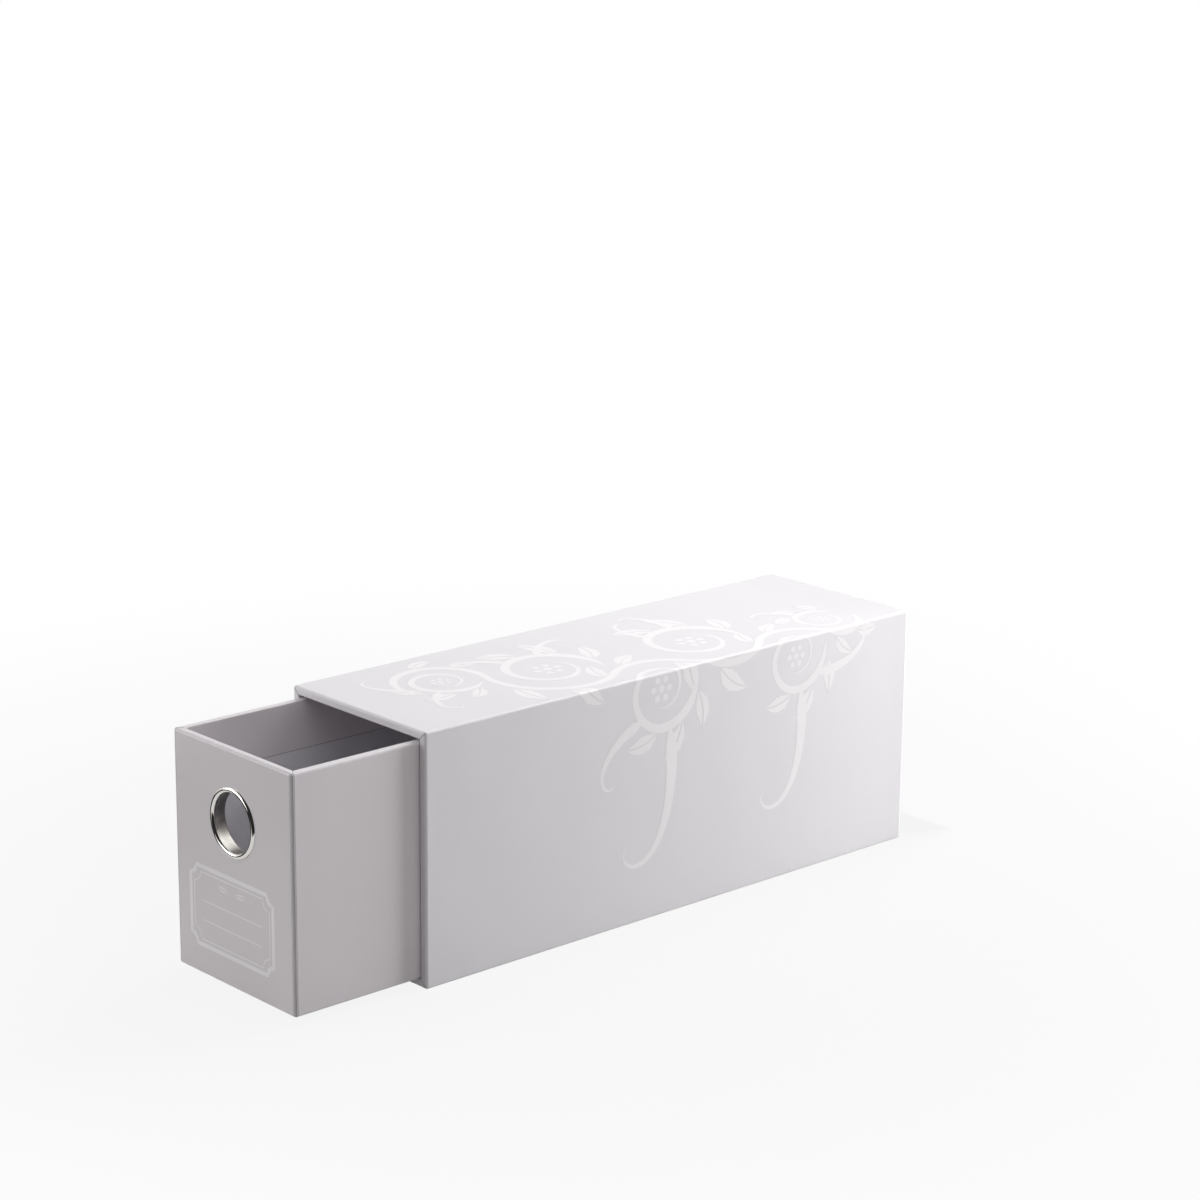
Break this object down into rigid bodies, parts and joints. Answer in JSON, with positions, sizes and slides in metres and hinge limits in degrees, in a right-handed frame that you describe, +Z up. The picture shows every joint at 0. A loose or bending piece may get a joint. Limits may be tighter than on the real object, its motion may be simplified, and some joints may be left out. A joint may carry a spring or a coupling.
{
  "type": "trading card drawer box",
  "caption": "Long paper-wrapped board sleeve, open at one end, with a slide-out tray for sleeved trading cards and a round metal finger ring in the tray's front.",
  "frame": {"origin": "centre of the sleeve's underside, on the base sheet that the box stands on", "axes": "+Z up, +Y towards the sleeve's closed back, +X to the right seen from the drawer's front; the drawer slides out along -Y"},
  "size_m": [0.0874, 0.3503, 0.11],
  "materials": {
    "laminated_wrap": "satin laminated, near white with a faint violet tint",
    "lining_paper": "matt",
    "greyboard": "raw, matt",
    "stay_tape": "gummed kraft tape, matt",
    "polished_nickel": "polished nickel plate on steel"
  },
  "bodies": {
    "sleeve": {"sleeve_top_board": "greyboard", "sleeve_bottom_board": "greyboard", "sleeve_left_board": "greyboard", "sleeve_right_board": "greyboard", "sleeve_back_board": "greyboard", "sleeve_stay_top_left": "stay_tape", "sleeve_stay_top_right": "stay_tape", "sleeve_stay_bottom_left": "stay_tape", "sleeve_stay_bottom_right": "stay_tape", "sleeve_wrap": "laminated_wrap", "sleeve_base_sheet": "laminated_wrap", "sleeve_back_panel": "laminated_wrap", "sleeve_lining": "lining_paper", "sleeve_back_lining": "lining_paper"},
    "drawer": {"drawer_floor_board": "greyboard", "drawer_left_board": "greyboard", "drawer_right_board": "greyboard", "drawer_front_board": "greyboard", "drawer_back_board": "greyboard", "drawer_stay_front_left": "stay_tape", "drawer_stay_front_right": "stay_tape", "drawer_stay_back_left": "stay_tape", "drawer_stay_back_right": "stay_tape", "drawer_wrap": "laminated_wrap", "drawer_wall_lining": "lining_paper", "drawer_floor_lining": "lining_paper", "finger_ring": "polished_nickel", "finger_ring_washer": "polished_nickel"}
  },
  "joints": [
    {"name": "drawer_slide", "type": "slide", "parent": "sleeve", "child": "drawer", "axis": [0, -1, 0], "range_m": [-0.0634, 0.225]}
  ]
}
